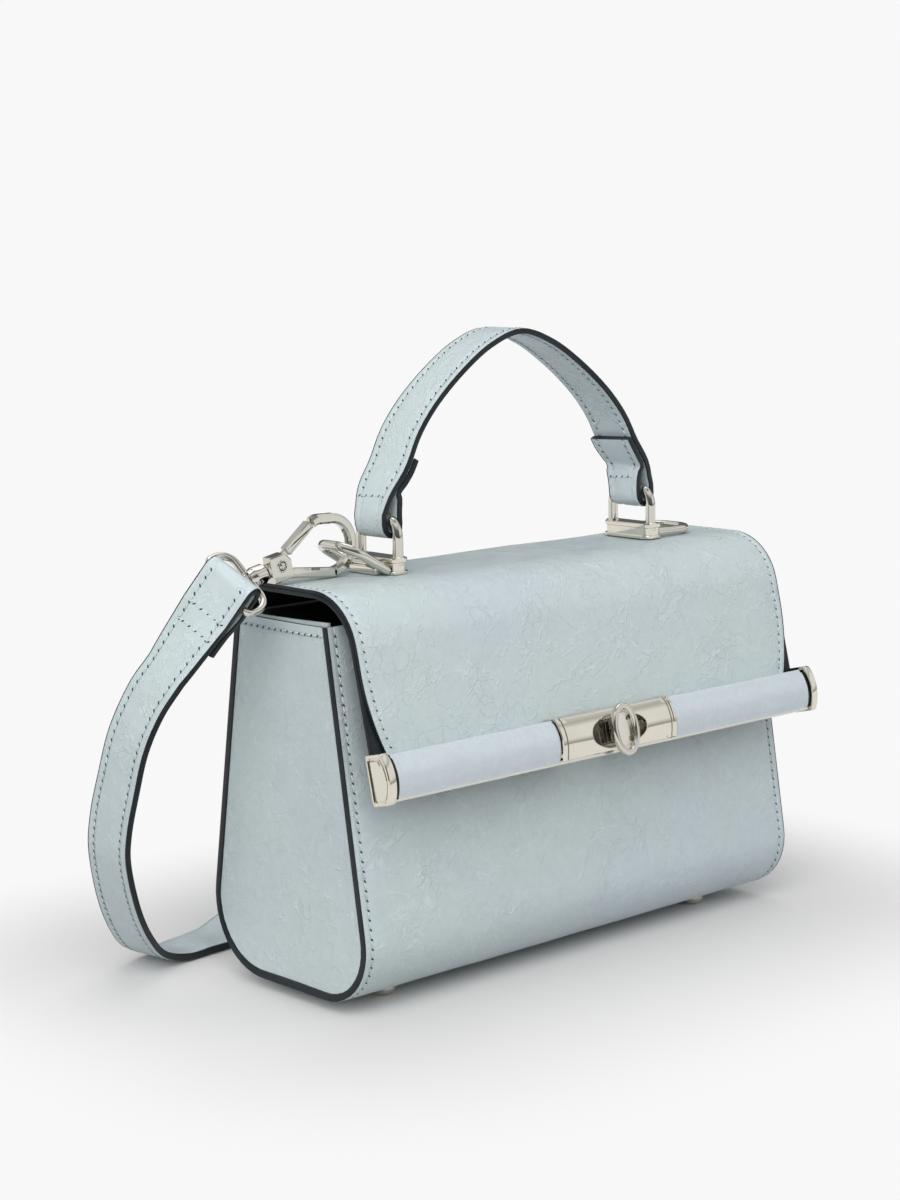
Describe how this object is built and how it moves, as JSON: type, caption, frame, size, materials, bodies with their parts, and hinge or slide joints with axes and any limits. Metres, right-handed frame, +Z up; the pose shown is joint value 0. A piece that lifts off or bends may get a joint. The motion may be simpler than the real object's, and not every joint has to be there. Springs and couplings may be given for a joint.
{
  "type": "crossbody bag",
  "caption": "Structured leather crossbody bag with a flap, a bar closure with a turn lock, an arched top handle and a clip-on shoulder strap.",
  "frame": {"origin": "centre of the bottom panel's underside, 4 mm above the surface that the feet stand on", "axes": "+X to the right of someone who looks at the front, +Y from the front to the back, +Z up"},
  "size_m": [0.2577, 0.1985, 0.221],
  "materials": {
    "leather": "pearly crinkled calfskin, satin",
    "lining": "smooth matte black",
    "board": "pressed fibre board",
    "polished_metal": "polished nickel plate on zinc alloy",
    "steel": "plain steel"
  },
  "bodies": {
    "body": {"body_wrap": "leather", "gusset_left": "leather", "gusset_right": "leather", "lining": "lining", "front_board": "board", "back_board": "board", "base_board": "board", "foot_front_left": "polished_metal", "foot_front_right": "polished_metal", "foot_back_left": "polished_metal", "foot_back_right": "polished_metal", "lock_keeper": "polished_metal", "keeper_plate": "polished_metal", "keeper_rivet_1": "steel", "keeper_rivet_2": "steel", "keeper_rivet_3": "steel", "keeper_rivet_4": "steel", "shoulder_strap": "leather"},
    "flap": {"flap_cover": "leather", "flap_lining": "lining", "bracket_base_left": "polished_metal", "bracket_base_right": "polished_metal", "staple_left": "polished_metal", "staple_right": "polished_metal", "backing_plate_left": "steel", "backing_plate_right": "steel", "bracket_screw_left_front": "steel", "bracket_screw_left_back": "steel", "bracket_screw_right_front": "steel", "bracket_screw_right_back": "steel"},
    "fall": {"fall_cover": "leather", "fall_lining": "lining", "bar_core": "polished_metal", "bar_sleeve_left": "leather", "bar_sleeve_right": "leather", "end_cap_left": "polished_metal", "end_cap_right": "polished_metal", "lock_plate": "polished_metal", "lock_body": "polished_metal"},
    "knob": {"lock_knob": "polished_metal", "lock_cam": "steel"},
    "handle": {"handle": "leather"},
    "ring_left": {"ring_left": "polished_metal"},
    "ring_right": {"ring_right": "polished_metal"},
    "hook_left": {"hook_left": "polished_metal", "gate_pin_left": "steel"},
    "gate_left": {"gate_left": "polished_metal"},
    "eye_left": {"swivel_eye_left": "polished_metal"},
    "eye_free": {"swivel_eye_free": "polished_metal"},
    "hook_free": {"hook_free": "polished_metal", "gate_pin_free": "steel"},
    "gate_free": {"gate_free": "polished_metal"}
  },
  "joints": [
    {"name": "flap_hinge", "type": "hinge", "parent": "body", "child": "flap", "pos_m": [0, 0.0242, 0.12575], "axis": [-1, 0, 0], "range_deg": [0, 110], "deforming": ["shoulder_strap"]},
    {"name": "fall_bend", "type": "hinge", "parent": "flap", "child": "fall", "pos_m": [0, -0.03673, 0.11994], "axis": [-1, 0, 0], "range_deg": [0, 60]},
    {"name": "turn_lock", "type": "hinge", "parent": "fall", "child": "knob", "pos_m": [0, -0.0444, 0.07837], "axis": [0, -0.9726, 0.2324], "range_deg": [0, 90]},
    {"name": "handle_lift", "type": "slide", "parent": "flap", "child": "handle", "axis": [0, 0, 1], "range_m": [0, 0.0006]},
    {"name": "ring_left_swing", "type": "hinge", "parent": "flap", "child": "ring_left", "pos_m": [-0.0673, -0.001, 0.139], "axis": [0, 1, 0], "range_deg": [-12, 18]},
    {"name": "ring_right_swing", "type": "hinge", "parent": "flap", "child": "ring_right", "pos_m": [0.0673, -0.001, 0.139], "axis": [0, -1, 0], "range_deg": [0, 72]},
    {"name": "hook_left_swing", "type": "hinge", "parent": "flap", "child": "hook_left", "pos_m": [-0.08324, -0.001, 0.1482], "axis": [0, 0, 1], "range_deg": [-12, 12], "deforming": ["shoulder_strap"]},
    {"name": "gate_left_spring", "type": "hinge", "parent": "hook_left", "child": "gate_left", "pos_m": [-0.10461, 0.001, 0.14446], "axis": [0, 1, 0], "range_deg": [0, 25], "stiffness_Nm_per_rad": 0.002, "springref_deg": -11.46},
    {"name": "swivel_left", "type": "hinge", "parent": "hook_left", "child": "eye_left", "pos_m": [-0.11317, 0.001, 0.14089], "axis": [0.9799, 0, 0.1994], "range_deg": [-12, 12], "deforming": ["shoulder_strap"]},
    {"name": "eye_free_pivot", "type": "hinge", "parent": "body", "child": "eye_free", "pos_m": [0.05, 0.124, 0.01], "axis": [0.0592, -0.037, 0.9976], "range_deg": [-35, 35], "deforming": ["shoulder_strap"]},
    {"name": "swivel_free", "type": "hinge", "parent": "eye_free", "child": "hook_free", "pos_m": [0.06074, 0.11729, 0.00911], "axis": [0.846, -0.5286, -0.0698], "continuous": true},
    {"name": "gate_free_spring", "type": "hinge", "parent": "hook_free", "child": "gate_free", "pos_m": [0.06855, 0.11241, 0.01027], "axis": [0.5299, 0.848, 0], "range_deg": [0, 25], "stiffness_Nm_per_rad": 0.002, "springref_deg": -11.46}
  ]
}
